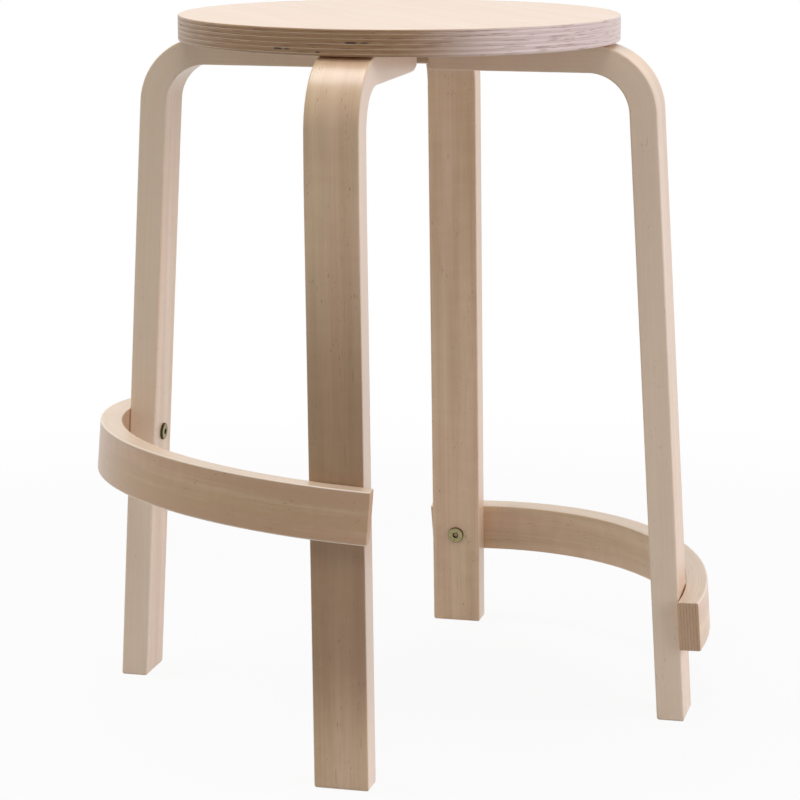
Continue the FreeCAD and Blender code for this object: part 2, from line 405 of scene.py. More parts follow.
@dataclass(frozen=True)
class BirchFigure:
    """Grain of one piece of birch: growth rings, fibres, ripple, flecks and mineral streaks.

    The grain runs along the first coordinate. All lengths are in millimetres. random_shift is how
    far the seed moves the noise along each of its coordinates.
    """

    seed: int
    pith_across: float = 8.0
    pith_depth: float = 95.0
    ring_width: float = 4.2
    ring_strength: float = 0.09
    wander: float = 9.0
    contrast: float = 1.0
    tone: float = 0.0
    flecks: float = 1.0
    base_roughness: float = 0.44
    random_shift: float = 900.0
    colours: BirchColours = field(default_factory=BirchColours)

    def look(self, recipe: Recipe, where: Wire) -> Look:
        """Build the figure.

        Args:
            recipe: The finish that it belongs to.
            where: Place in the wood: along the grain, across it and in depth.

        Returns:
            Colour, roughness and relief of the wood.
        """
        chance = random.Random(self.seed)
        far = self.random_shift
        there = recipe.moved(where, tuple(chance.uniform(-far, far) for _ in range(3)))
        tone, roughness, height = 0.5 + self.tone, self.base_roughness, 0.5
        for grain in (FIBRE, STRAND, BAND, RIPPLE):
            swing = recipe.noise(there, grain.noise) - 0.5
            tone = tone + swing * (grain.tone * self.contrast)
            roughness = roughness + swing * grain.roughness
            height = height + swing * grain.height
        colours = self.colours
        colour = recipe.ramp(tone, [(0.12, colours.deep), (0.5, colours.body), (0.86, colours.pale)])
        drift = recipe.rise(recipe.noise(there, HUE_DRIFT), 0.35, 0.65)
        colour = recipe.mix(0.2, colour, recipe.mix(drift, colours.pink, colours.straw))
        rings = self._rings(recipe, where, there)
        colour = recipe.mix(rings * self.ring_strength, colour, colours.late_wood)
        streak = STREAKS.spread(recipe, there)
        colour = recipe.mix(recipe.limit(streak * (0.5 * self.flecks)), colour, colours.streak)
        fleck = FLECKS.spread(recipe, there)
        colour = recipe.mix(recipe.limit(fleck * (0.7 * self.flecks)), colour, colours.fleck)
        return Look(colour, roughness + fleck * 0.12, height + rings * 0.1 - fleck * 0.4)

    def _rings(self, recipe: Recipe, where: Wire, there: Wire) -> Wire:
        """Dark late wood of the growth rings, which narrows to a line at each ring's end.

        Args:
            recipe: The finish that it belongs to.
            where: Place in the wood.
            there: The same place, moved at random for the noise.

        Returns:
            How dark the late wood is, 0 to 1.
        """
        _, across, depth = recipe.parts(where)
        aside = across - self.pith_across
        behind = depth - self.pith_depth
        drift = recipe.noise(there, RING_DRIFT) - 0.5
        distance = recipe.maths("SQRT", aside * aside + behind * behind) + drift * self.wander
        place = recipe.maths("FRACT", distance / self.ring_width)
        return recipe.rise(place, 0.35, 0.93) * recipe.rise(place, 1.0, 0.94)

    def end_colour(self, recipe: Recipe, where: Wire, darkening: Value = 0.0) -> Wire:
        """Colour of a face that cuts across the grain.

        Args:
            recipe: The finish that it belongs to.
            where: Place in the wood.
            darkening: Share of late wood besides the pores.

        Returns:
            The colour.
        """
        share = recipe.noise(where, PORES) * 0.5 + darkening
        return recipe.mix(share, self.colours.end_grain, self.colours.late_wood)


def on_edge(recipe: Recipe, across: Wire, half: float, start: float = 0.9, end: float = 0.1) -> Wire:
    """Tell a bar's narrow faces from its broad ones.

    Args:
        recipe: The finish that it belongs to.
        across: Place across the bar, in millimetres.
        half: Half of the bar's width.
        start: Distance from the narrow face where the step starts.
        end: Distance where it is complete.

    Returns:
        1 on the narrow faces, 0 on the broad ones.
    """
    return recipe.rise(abs(across), half - start, half - end)


def between_layers(recipe: Recipe, count: Wire, layers: int, width: float) -> Wire:
    """Thin lines where one layer meets the next, with none at the outer faces.

    Args:
        recipe: The finish that it belongs to.
        count: Depth, counted in layers.
        layers: How many layers there are.
        width: Half width of a line, as a share of a layer.

    Returns:
        How strong the line is, 0 to 1.
    """
    border = abs(count - recipe.maths("ROUND", count))
    inside = recipe.rise(count, 0.4, 0.6) * recipe.rise(count, layers - 0.4, layers - 0.6)
    return recipe.rise(border, width, 0.03) * inside


@dataclass(frozen=True)
class BentBirch(Finish):
    """Finish of a bent leg: long grain round the bend, end grain at the foot and the arm's end."""

    figure: BirchFigure
    half_width: float
    # Share of painted light on the narrow faces. They are mixed towards pale birch for the light and
    # sheen they catch.
    painted_side_light: float = 0.55
    # Share of painted shade on the shank's middle: full from 110 to 290 mm along the bar from the foot,
    # gone by 5 and 480 mm. It stands for the footrest's shadow and the dim front face.
    shank_shade: float = 0.0
    shank_shade_start: Pair = (5.0, 110.0)
    shank_shade_end: Pair = (480.0, 290.0)
    shank_shade_tint: Rgba = (0.52, 0.44, 0.36, 1.0)

    def make(self) -> bpy.types.Material:
        """Build the material, which reads the leg's own grain and end_grain attributes."""
        recipe = Recipe(self.name)
        where = recipe.grain_place()
        look = self.figure.look(recipe, where)
        along, aside, _ = recipe.parts(where)
        # Painted shade: the shank's middle band is multiplied by the shade tint.
        shank_shade_band = recipe.rise(along, *self.shank_shade_start) * recipe.rise(along, *self.shank_shade_end)
        toned = recipe.mix(shank_shade_band * self.shank_shade, look.colour, self.shank_shade_tint, "MULTIPLY")
        # Painted light: the narrow faces are made paler.
        side = on_edge(recipe, aside, self.half_width)
        side_lit = recipe.mix(side * self.painted_side_light, toned, self.figure.colours.pale)
        ends = recipe.stored("end_grain")
        colour = recipe.mix(ends * 0.75, side_lit, self.figure.end_colour(recipe, where))
        return recipe.surface(Look(colour, look.roughness + ends * 0.15, look.height), WOOD_RELIEF,
                              LACQUER)


@dataclass(frozen=True)
class LaminatedBirch(Finish):
    """Finish of a footrest: thin layers glued face to face, each with a figure of its own.

    The thickness is in metres, and the half height in millimetres.
    """

    figure: BirchFigure
    layers: int
    thickness: float
    half_height: float
    # Share of painted light on the narrow top and bottom faces, for the light they catch.
    painted_edge_light: float = 0.5
    # Share of a pale line along the outer arrises: painted highlight, with some paler rubbed edge.
    wear_and_sheen: float = 0.6
    layer_shift: float = 137.0
    luck_shift: float = 40.0
    glue: Rgba = rgb(128, 92, 64)
    # Colour of that line of painted highlight and rubbed edge.
    worn_sheen: Rgba = rgb(250, 238, 220)

    def make(self) -> bpy.types.Material:
        """Build the material, which reads the footrest's own grain and end_grain attributes."""
        recipe = Recipe(self.name)
        where = recipe.grain_place()
        along, across, depth = recipe.parts(where)
        count = recipe.limit(depth / (self.thickness / MM), 0.002, 0.998) * self.layers
        layer = recipe.maths("FLOOR", count)
        luck = recipe.luck(layer + 3.0)
        look = self.figure.look(recipe, recipe.vector(
            along + layer * self.layer_shift, across + luck * self.luck_shift, depth))
        colours = self.figure.colours
        ends = recipe.stored("end_grain")
        long_grain = 1.0 - ends
        edge = on_edge(recipe, across, self.half_height)
        layered = recipe.mix(luck, colours.deep, colours.pale)
        tint = recipe.mix(edge * 0.12 + ends * 0.2, look.colour, layered)
        # Painted light: the narrow faces are made paler where the grain runs along them.
        tint = recipe.mix(edge * long_grain * self.painted_edge_light, tint, colours.pale)
        # Painted highlight, with some paler rubbed edge: a cream line along the outer arrises.
        arris = recipe.rise(depth, 1.5, 0.7) * on_edge(recipe, across, self.half_height, 1.5, 0.7)
        tint = recipe.mix(arris * long_grain * self.wear_and_sheen, tint, self.worn_sheen)
        colour = recipe.mix(ends * 0.7, tint, self.figure.end_colour(recipe, where, luck * 0.3))
        broken = recipe.rise(recipe.noise(where, Noise((30.0, 6.0, 0.6))), 0.25, 0.6)
        line = between_layers(recipe, count, self.layers, 0.11) * broken
        colour = recipe.mix(recipe.limit(line * (0.22 + ends * 0.6)), colour, self.glue)
        return recipe.surface(Look(colour, look.roughness + ends * 0.15, look.height - line * 0.5),
                              WOOD_RELIEF, LACQUER)


@dataclass(frozen=True)
class PlyPlace:
    """Where a place on the seat's edge lies among the plies.

    count is the height in plies, luck the ply's own number, end how much end grain shows, turn
    the angle from the face veneer's grain, and unrolled the place on the edge laid flat.
    """

    count: Wire
    luck: Wire
    end: Wire
    turn: Wire
    unrolled: Wire


PLY_WAVE = Noise((60.0, 60.0, 9.0), 1.0)
PLY_GRAIN = Noise((7.0, 0.5, 1.0), 3.0, 0.65)
PLY_PATCH = Noise((26.0, 1.6, 1.0), 2.0, 0.6)
PLY_PORES = Noise((0.5, 0.4, 1.0), 1.0)
PLY_STAIN = Noise((22.0, 1.7, 1.0), 3.0, shift=(77.0, 0.0, 13.0))
PLY_KNOT = Noise((8.0, 1.3, 1.0), 1.0, shift=(19.0, 0.0, 31.0))


@dataclass(frozen=True)
class SeatPlywood(Finish):
    """Finish of the seat: a pale face veneer, and the crossed plies open on the edge.

    Sizes are in metres, angles in radians.
    """

    figure: BirchFigure
    underside: float
    thickness: float
    radius: float
    plies: int
    face_heading: float
    glue: Rgba = rgb(112, 66, 40)
    crossed: Rgba = rgb(116, 82, 50)
    end: Rgba = rgb(166, 130, 88)
    # Colour and heading of the painted highlight on the part of the edge that faces the right-hand lamp.
    edge_highlight: Rgba = rgb(236, 220, 212)
    edge_highlight_heading: float = math.radians(-15.0)
    # Colour of the dark knots, also painted into the voids as shade.
    knot: Rgba = rgb(52, 28, 20)
    wave_height: float = 0.35
    ply_shift: float = 211.0
    luck_shift: float = 50.0

    def make(self) -> bpy.types.Material:
        """Build the material, which reads Object coordinates and the seat's void attribute."""
        recipe = Recipe(self.name)
        millimetres = recipe.millimetres()
        x, y, z = recipe.parts(millimetres)
        cosine, sine = math.cos(self.face_heading), math.sin(self.face_heading)
        along = x * cosine + y * sine
        across = y * cosine - x * sine
        face = self.figure.look(recipe, recipe.vector(along, across, z * 0.05))
        distance = recipe.maths("SQRT", x * x + y * y)
        edge = recipe.rise(distance, self.radius / MM - 1.2, self.radius / MM - 0.35)
        wave = recipe.noise(millimetres, PLY_WAVE) - 0.5
        plies = self._plies(recipe, self._ply_place(recipe, (along, across, z), distance, wave))
        # Painted shade: the voids are darkened to the knot colour by how deep they are.
        void = recipe.stored("void")
        colour = recipe.mix(void, recipe.mix(edge, face.colour, plies.colour), self.knot)
        roughness = face.roughness + edge * (plies.roughness - face.roughness)
        height = face.height + edge * (plies.height - face.height)
        return recipe.surface(Look(colour, roughness + void * 0.2, height), WOOD_RELIEF, LACQUER)

    def _ply_place(self, recipe: Recipe, place: tuple[Wire, Wire, Wire], distance: Wire,
                   wave: Wire) -> PlyPlace:
        """Find where a place lies among the plies.

        Args:
            recipe: The finish that it belongs to.
            place: Place along the face's grain, across it and up, in millimetres.
            distance: Distance from the seat's middle line.
            wave: How the plies rise and fall, -0.5 to 0.5.

        Returns:
            The place among the plies.
        """
        along, across, z = place
        turn = recipe.maths("ARCTAN2", across, along)
        plies_per_mm = self.plies / (self.thickness / MM)
        count = (z - self.underside / MM) * plies_per_mm + wave * self.wave_height
        ply = recipe.limit(recipe.maths("FLOOR", count), 0.0, self.plies - 1.0)
        luck = recipe.luck(ply + 7.0)
        end_on_face = (along / distance) ** 2.0
        end = end_on_face + recipe.maths("PINGPONG", ply, 1.0) * (1.0 - end_on_face * 2.0)
        unrolled = recipe.vector(turn * (self.radius / MM) + ply * self.ply_shift, z,
                                 luck * self.luck_shift)
        return PlyPlace(count, luck, end, turn, unrolled)

    def _plies(self, recipe: Recipe, place: PlyPlace) -> Look:
        """Look of the edge, where plies with long grain and plies with end grain take turns.

        Args:
            recipe: The finish that it belongs to.
            place: Place among the plies.

        Returns:
            Colour, roughness and relief of the edge.
        """
        body, pale = self.figure.colours.body, self.figure.colours.pale
        grain = recipe.noise(place.unrolled, PLY_GRAIN)
        patch = recipe.noise(place.unrolled, PLY_PATCH)
        pores = recipe.noise(place.unrolled, PLY_PORES)
        long_colour = recipe.ramp(grain * 0.6 + patch * 0.5, [
            (0.3, self.crossed), (0.55, self.end), (0.9, body)])
        end_colour = recipe.mix(recipe.limit(patch * 0.9 + pores * 0.5 - 0.25), self.end, self.crossed)
        colour = recipe.mix(recipe.limit(0.25 + place.end * 0.9), long_colour, end_colour)
        colour = recipe.mix(place.luck * 0.3, colour, self.end)
        stain = recipe.rise(recipe.noise(place.unrolled, PLY_STAIN), 0.53, 0.68)
        colour = recipe.mix(stain * 0.6, colour, self.glue)
        line = between_layers(recipe, place.count, self.plies, 0.13)
        odd = recipe.maths("PINGPONG", recipe.maths("ROUND", place.count), 1.0)
        seam = recipe.mix(recipe.rise(odd, 0.4, 0.6), self.glue, pale)
        colour = recipe.mix(line * recipe.rise(patch, 0.2, 0.6) * 0.7, colour, seam)
        knot = recipe.rise(recipe.noise(place.unrolled, PLY_KNOT), 0.74, 0.80)
        colour = recipe.mix(knot * 0.85, colour, self.knot)
        # Painted highlight and light: the edge that faces the right-hand lamp is mixed towards a pale
        # colour. The mix is weaker on seam lines, stains and end grain.
        facing = recipe.maths("COSINE", place.turn - (self.edge_highlight_heading - self.face_heading))
        kept = 0.85 - line * 0.3 - stain * 0.35 - place.end * 0.2
        colour = recipe.mix(recipe.limit(recipe.rise(facing, 0.45, 0.9) * kept), colour, self.edge_highlight)
        height = 0.5 + (grain - 0.5) * 0.8 - line * 0.6 - place.end * 0.25 - knot * 0.6
        return Look(colour, 0.5 + place.end * 0.12 + (grain - 0.5) * 0.15, height)


class Plating(Enum):
    """Colours of the plated steel parts."""

    YELLOW_ZINC = (rgb(166, 154, 118), rgb(138, 132, 92))
    BRIGHT_ZINC = (rgb(190, 192, 194), rgb(160, 163, 166))


CLOUD = Noise((2.6, 2.6, 2.6), 3.0, 0.6, 0.4)
GRIT = Noise((0.25, 0.25, 0.25))


@dataclass(frozen=True)
class PlatedSteel(Finish):
    """Finish of a plated steel fastener: cloudy plating, with painted shade where the mesh stores it."""

    plating: Plating
    roughness: float = 0.4
    relief: float = 0.01 * MM
    # Dark colour painted into the socket and round the head's rim as shade.
    grime: Rgba = rgb(50, 39, 24)

    def make(self) -> bpy.types.Material:
        """Build the material, which reads Object coordinates and the mesh's attribute of painted shade.
        """
        recipe = Recipe(self.name)
        place = recipe.millimetres()
        cloud = recipe.noise(place, CLOUD)
        grit = recipe.noise(place, GRIT)
        grime = recipe.stored("grime")
        clean = recipe.mix(recipe.rise(cloud, 0.3, 0.7), *self.plating.value)
        # Painted shade: the socket and the head's rim are darkened to the shade colour.
        colour = recipe.mix(grime, clean, self.grime)
        roughness = self.roughness + (cloud - 0.5) * 0.2 + (grit - 0.5) * 0.12 + grime * 0.3
        return recipe.surface(Look(colour, roughness, cloud * 0.3 + grit * 0.7), self.relief,
                              {"IOR": 1.5}, metallic=1.0)


@dataclass(frozen=True)
class StoolSizes:
    """Sizes that several pieces share, in metres and radians."""

    seat_radius: float
    seat_underside: float
    seat_top: float
    foot_reach: float
    arm_tip: float
    leg_width: float
    leg_thickness: float = 0.024
    splay: float = math.radians(3.6)
    bend_radius: float = 0.060
    arris_radius: float = 0.002
    shown_arris: float = 0.0013
    upper_footrest: float = 0.230
    lower_footrest: float = 0.090
    footrest_height: float = 0.044
    footrest_thickness: float = 0.019

    @classmethod
    def from_frame(cls) -> "StoolSizes":
        """Read what the frame's boxes tell."""
        seat_low, seat_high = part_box("seat")
        leg_low, leg_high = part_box("leg_right")
        return cls(seat_radius=(seat_high.x - seat_low.x) / 2.0, seat_underside=seat_low.z,
                   seat_top=seat_high.z, foot_reach=leg_high.x, arm_tip=leg_low.x,
                   leg_width=leg_high.y - leg_low.y)

    def reach(self, height: float) -> float:
        """Distance from the middle line to a shank's outer face at a height."""
        return self.foot_reach - height * math.tan(self.splay)

    def spread(self, height: float) -> float:
        """How far a footrest at this height pushes its two legs sideways."""
        return self.reach(self.lower_footrest) - self.reach(height)

    def slope(self, height: float) -> float:
        """Sideways lean of a shank with a footrest at this height, as offset per height."""
        return self.spread(height) / (self.seat_underside - self.bend_radius - height)


@dataclass(frozen=True)
class LegPlan:
    """Where a leg stands, and what sets it apart from the other three.

    The heading is in degrees. The side is the way its footrest pushes it, 1 or -1, and the level
    is that footrest's height.
    """

    name: str
    heading: float
    side: float
    level: float
    seed: int
    tone: float
    # Share of painted light on the narrow faces.
    painted_side_light: float = 0.55
    # Share of painted shade in the middle band of the shank.
    shank_shade: float = 0.0
    tip_length: float = 0.0044
    tip_rise: float = 0.0044

    def finish(self, sizes: StoolSizes) -> BentBirch:
        """The leg's own finish."""
        return BentBirch("birch_leg_" + self.name, BirchFigure(self.seed, tone=self.tone, contrast=0.7),
                         sizes.leg_width / MM / 2.0, self.painted_side_light, self.shank_shade)


def quarter(steps: int) -> list[float]:
    """Angles of a quarter turn, from 0 to 90 degrees."""
    return [math.radians(90.0 * step / steps) for step in range(steps + 1)]


def eased(distance: float, length: float, rise: float) -> float:
    """Depth of an elliptical ease at a distance from a bar's end.

    Args:
        distance: Distance from the end.
        length: Length of the ease along the bar.
        rise: Its depth at the end.

    Returns:
        How much it takes off there.
    """
    share = min(max(1.0 - distance / length, 0.0), 1.0)
    return rise * (1.0 - math.sqrt(1.0 - share * share))


def rounded_section(width: float, depth: float, radius: float) -> list[Pair]:
    """Outline of a rounded rectangle, with a support point on each flat beside each corner.

    Args:
        width: Size along the first direction, which is centred on 0.
        depth: Size along the second direction, which runs from 0 up.
        radius: Corner radius.

    Returns:
        Points in order round the outline.
    """
    points = []
    half = width / 2.0
    corners_of = ((half, 0.0, -90.0), (half, depth, 0.0), (-half, depth, 90.0), (-half, 0.0, 180.0))
    for edge_x, edge_y, start in corners_of:
        centre = Vector((edge_x - math.copysign(radius, edge_x),
                         radius if edge_y == 0.0 else depth - radius))
        turn = Matrix.Rotation(math.radians(start), 2)
        arc = [(radius * math.cos(angle), radius * math.sin(angle)) for angle in quarter(ARRIS_STEPS)]
        for local in [(radius, -SUPPORT), *arc, (-SUPPORT, radius)]:
            points.append(centre + turn @ Vector(local))
    return [(point.x, point.y) for point in points]


def lofted(name: str, rings: list[Ring]) -> bpy.types.Mesh:
    """Skin a row of rings and close both ends.

    Args:
        name: Name of the mesh.
        rings: Rings of equally many points.

    Returns:
        A closed mesh, shaded smooth, with its faces pointing outwards. Its points are in the
        order of the rings.
    """
    shape = bmesh.new()
    rows = [[shape.verts.new(point) for point in ring] for ring in rings]
    for row, following in zip(rows, rows[1:]):
        for index in range(len(row)):
            after = (index + 1) % len(row)
            shape.faces.new((row[index], row[after], following[after], following[index]))
    shape.faces.new(list(reversed(rows[0])))
    shape.faces.new(rows[-1])
    bmesh.ops.recalc_face_normals(shape, faces=shape.faces[:])
    mesh = bpy.data.meshes.new(name)
    shape.to_mesh(mesh)
    shape.free()
    smooth(mesh)
    return mesh


def smooth(mesh: bpy.types.Mesh) -> None:
    """Shade all of a mesh's faces smooth."""
    mesh.polygons.foreach_set("use_smooth", [True] * len(mesh.polygons))


def ring_round(radius_at: Callable[[float], float], height: float) -> Ring:
    """Ring round the Z axis.

    Args:
        radius_at: Gives the radius at a turn.
        height: Height of the ring.

    Returns:
        Its points.
    """
    turns = [2.0 * math.pi * index / AROUND for index in range(AROUND)]
    return [Vector((radius_at(turn) * math.cos(turn), radius_at(turn) * math.sin(turn), height))
            for turn in turns]


def turned(outline: list[Pair]) -> list[Ring]:
    """Round rings from an outline's radius and height pairs."""
    return [ring_round(lambda turn: radius, height) for radius, height in outline]


def store(mesh: bpy.types.Mesh, name: str, domain: str, values: list[float]) -> None:
    """Store a number for each point or face of a mesh."""
    mesh.attributes.new(name, "FLOAT", domain).data.foreach_set("value", values)


def store_grain(mesh: bpy.types.Mesh, place_of: Callable[[Vector], Triple],
                is_end: Callable[[bpy.types.MeshPolygon], bool]) -> None:
    """Store where each point lies in the wood, and which faces show end grain.

    Args:
        mesh: The piece's mesh.
        place_of: Gives a point's place along the grain, across it and in from the outer face.
        is_end: Tells whether a face cuts across the grain.
    """
    grain = mesh.attributes.new("grain", "FLOAT_VECTOR", "POINT")
    for vertex, item in zip(mesh.vertices, grain.data):
        item.vector = place_of(vertex.co)
    store(mesh, "end_grain", "FACE", [float(is_end(polygon)) for polygon in mesh.polygons])


@dataclass
class Piece:
    """A visible piece: build() makes its mesh, and dress() puts that in the scene."""

    sizes: StoolSizes
    finish: Finish

    def __post_init__(self) -> None:
        """Make the piece's material."""
        self.material = self.finish.make()

    def build(self) -> bpy.types.Mesh:
        """Build the mesh, in place."""
        raise NotImplementedError

    def dress(self, mesh: bpy.types.Mesh) -> bpy.types.Object:
        """Put the mesh in the scene with its finish."""
        raise NotImplementedError

    def add(self) -> bpy.types.Object:
        """Build the piece and dress it."""
        return self.dress(self.build())

    def placed(self, name: str, mesh: bpy.types.Mesh, slot: str, *nodes: str) -> bpy.types.Object:
        """Put a finished mesh in the scene in place of its CAD nodes.

        Args:
            name: Name of the piece.
            mesh: Its mesh, in place.
            slot: The record's material slot. It is not used.
            nodes: CAD nodes that it stands for.

        Returns:
            The new object.
        """
        piece = bpy.data.objects.new(name, mesh)
        bpy.context.scene.collection.objects.link(piece)
        mesh.materials.clear()
        mesh.materials.append(self.material)
        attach(piece, ROOT)
        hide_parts(*nodes)
        LOG.info("%s: %d faces, stands for %s", name, len(mesh.polygons), ", ".join(nodes))
        return piece


@dataclass
class BentLeg(Piece):
    """One leg: an arm under the seat, a round bend and a splayed shank with a level foot.

    Points are worked out on a leg that stands along +X, then turned to the leg's heading.
    """

    plan: LegPlan
    foot_round: float = 0.0026
    tip_round: float = 0.0026
    smallest_arris: float = 0.0003
    lean_blend: float = 0.060
    shank_end: float = 0.010
    crowding: float = 1.2
    foot_steps: int = 6
    shank_steps: int = 24
    bend_steps: int = 40
    arm_steps: int = 8
    tip_steps: int = 10

    def build(self) -> bpy.types.Mesh:
        """Build the leg's mesh."""
        mesh = lofted("leg_" + self.plan.name,
                      self._shank_rings() + self._bend_rings() + self._arm_rings())
        foot_top = self.foot_round / 2.0
        tip_end = self.sizes.arm_tip + self.tip_round / 2.0 + self.plan.tip_length

        def is_end(polygon: bpy.types.MeshPolygon) -> bool:
            """Tell the foot's face and the arm's end face by where they lie and look."""
            if abs(polygon.normal.z) > END_FACING and polygon.center.z < foot_top:
                return True
            return abs(polygon.normal.x) > END_FACING and polygon.center.x < tip_end

        store_grain(mesh, self._place, is_end)
        mesh.transform(Matrix.Rotation(math.radians(self.plan.heading), 4, "Z"))
        return mesh

    def dress(self, mesh: bpy.types.Mesh) -> bpy.types.Object:
        """Put the leg in the scene."""
        return self.placed("bent_leg_" + self.plan.name, mesh, "leg_birch", "leg_" + self.plan.name)

    def _section(self, inset: float, trim: float = 0.0) -> list[Pair]:
        """Outline of the bar's section.

        Args:
            inset: How far it is drawn in all round.
            trim: How much is taken off its inner side.

        Returns:
            Points across the bar and in from its outer face.
        """
        sizes = self.sizes
        radius = max(sizes.shown_arris - inset, self.smallest_arris)
        outline = rounded_section(sizes.leg_width - 2.0 * inset,
                                  sizes.leg_thickness - trim - 2.0 * inset, radius)
        return [(across, depth + inset) for across, depth in outline]

    def _leaned(self, radial: float, across: float, height: float) -> Vector:
        """Point of the leg after its sideways lean, which starts softly in the bend.

        Args:
            radial: Distance from the middle line.
            across: Place across the leg, before the lean.
            height: Height above the floor.

        Returns:
            The point.
        """
        lean = self.plan.side * self.sizes.slope(self.plan.level)
        below = self.sizes.seat_underside - height
        blend = 2.0 * self.lean_blend
        offset = lean * (below * below / (2.0 * blend) if below < blend else below - self.lean_blend)
        return Vector((radial, across + offset, height))

    def _shank_rings(self) -> list[Ring]:
        """Level rings from the eased foot up to just under the bend."""
        sizes, ease = self.sizes, self.foot_round
        levels = [(0.0, ease + SUPPORT)]
        levels += [(ease * (1.0 - math.sin(angle)), ease * (1.0 - math.cos(angle)))
                   for angle in reversed(quarter(self.foot_steps))]
        length = self._bend_centre()[1] - self.shank_end - ease
        levels += [(ease + SUPPORT + length * (row / self.shank_steps) ** self.crowding, 0.0)
                   for row in range(1, self.shank_steps + 1)]
        return [[self._leaned(sizes.reach(height) - depth / math.cos(sizes.splay), across, height)
                 for across, depth in self._section(inset)] for height, inset in levels]

    def _bend_centre(self) -> Pair:
        """Distance from the middle line and height of the bend's centre."""
        sizes = self.sizes
        height = sizes.seat_underside - sizes.bend_radius
        return sizes.reach(height) - sizes.bend_radius / math.cos(sizes.splay), height

    def _bend_rings(self) -> list[Ring]:
        """Rings round the bend."""
        splay, outer = self.sizes.splay, self.sizes.bend_radius
        centre_x, centre_z = self._bend_centre()
        rings = []
        for step in range(self.bend_steps + 1):
            angle = splay + (math.pi / 2.0 - splay) * step / self.bend_steps
            rings.append([self._leaned(centre_x + (outer - depth) * math.cos(angle), across,
                                       centre_z + (outer - depth) * math.sin(angle))
                          for across, depth in self._section(0.0)])
        return rings

    def _arm_rings(self) -> list[Ring]:
        """Rings along the arm to its eased end, whose lower corner is rounder."""
        sizes, plan = self.sizes, self.plan
        start = self._bend_centre()[0]
        ease = sizes.arm_tip + plan.tip_length
        places = [start + (ease - start) * row / self.arm_steps for row in range(1, self.arm_steps + 1)]
        shares = [math.sin(angle) for angle in quarter(self.tip_steps)]
        places += [ease - plan.tip_length * share for share in shares[1:]
                   if plan.tip_length * (1.0 - share) > self.tip_round]
        places += [sizes.arm_tip + self.tip_round * (1.0 - share) for share in shares]
        rows = []
        for radial in places:
            from_tip = radial - sizes.arm_tip
            rows.append((radial, self._section(eased(from_tip, self.tip_round, self.tip_round),
                                               eased(from_tip, plan.tip_length, plan.tip_rise))))
        rows.append((sizes.arm_tip, self._section(self.tip_round + SUPPORT, plan.tip_rise)))
        return [[self._leaned(radial, across, sizes.seat_underside - depth)
                 for across, depth in section] for radial, section in rows]

    def _place(self, point: Vector) -> Triple:
        """Where a point lies in the wood.

        Args:
            point: Point of the leg, before it is turned to its heading.

        Returns:
            Place along the bar, across it and in from its outer face.
        """
        sizes = self.sizes
        centre_x, centre_z = self._bend_centre()
        middle = sizes.bend_radius - sizes.leg_thickness / 2.0
        across = point.y - self._leaned(0.0, 0.0, point.z).y
        shank = centre_z / math.cos(sizes.splay)
        out = Vector((point.x - centre_x, point.z - centre_z))
        angle = math.atan2(out.y, out.x)
        if angle > math.pi / 2.0 and out.y > 0.0:
            along = shank + middle * (math.pi / 2.0 - sizes.splay) - out.x
            return along, across, sizes.seat_underside - point.z
        if angle > sizes.splay and out.y > 0.0:
            return shank + middle * (angle - sizes.splay), across, sizes.bend_radius - out.length
        upwards = Vector((-math.sin(sizes.splay), math.cos(sizes.splay)))
        outwards = Vector((math.cos(sizes.splay), math.sin(sizes.splay)))
        return shank + out.dot(upwards), across, sizes.bend_radius - out.dot(outwards)


class ShapeTree(Nodes):
    """A Geometry Nodes tree with named inputs, run once on a host object."""

    SOCKETS = {float: "NodeSocketFloat", int: "NodeSocketInt", bpy.types.Object: "NodeSocketObject",
               bpy.types.Material: "NodeSocketMaterial"}

    def __init__(self, name: str, inputs: dict[str, Any]) -> None:
        """Start a tree.

        Args:
            name: Name of the tree.
            inputs: The inputs' names and values.
        """
        super().__init__(bpy.data.node_groups.new(name, "GeometryNodeTree"))
        interface = self.tree.interface
        interface.new_socket("Geometry", in_out="INPUT", socket_type="NodeSocketGeometry")
        self.values = {}
        for label, value in inputs.items():
            kind = next(kind for type_, kind in self.SOCKETS.items() if isinstance(value, type_))
            socket = interface.new_socket(label, in_out="INPUT", socket_type=kind)
            self.values[socket.identifier] = value
        interface.new_socket("Geometry", in_out="OUTPUT", socket_type="NodeSocketGeometry")
        self.group_in = self.node("NodeGroupInput")

    def given(self, label: str) -> Wire:
        """The tree's own input of that name."""
        return Wire(self, self.group_in.outputs[label])

    def run(self, host: bpy.types.Object, shape: Wire) -> bpy.types.Mesh:
        """Close the tree and run it on a host object.

        Args:
            host: Object that carries the modifier, and is removed with it.
            shape: The finished geometry.

        Returns:
            The result as a plain mesh.
        """
        real = self.wire("GeometryNodeRealizeInstances", None, {"Geometry": shape})
        dressed = self.wire("GeometryNodeSetMaterial", None,
                            {"Geometry": real, "Material": self.given("Finish")})
        self.node("NodeGroupOutput", None, {0: dressed})
        modifier = host.modifiers.new("shape", "NODES")
        modifier.node_group = self.tree
        for identifier, value in self.values.items():
            modifier[identifier] = value
        return worked_out(host)


def host_of(mesh: bpy.types.Mesh) -> bpy.types.Object:
    """Put a mesh in the scene to carry modifiers."""
    host = bpy.data.objects.new(mesh.name + "_host", mesh)
    bpy.context.scene.collection.objects.link(host)
    return host


def worked_out(host: bpy.types.Object) -> bpy.types.Mesh:
    """Take a host's shape after its modifiers as a plain mesh, and remove the host and them.

    Args:
        host: Object with modifiers.

    Returns:
        The mesh.
    """
    bpy.context.view_layer.update()
    graph = bpy.context.evaluated_depsgraph_get()
    mesh = bpy.data.meshes.new_from_object(host.evaluated_get(graph))
    host.modifiers.clear()
    bpy.data.objects.remove(host)
    return mesh


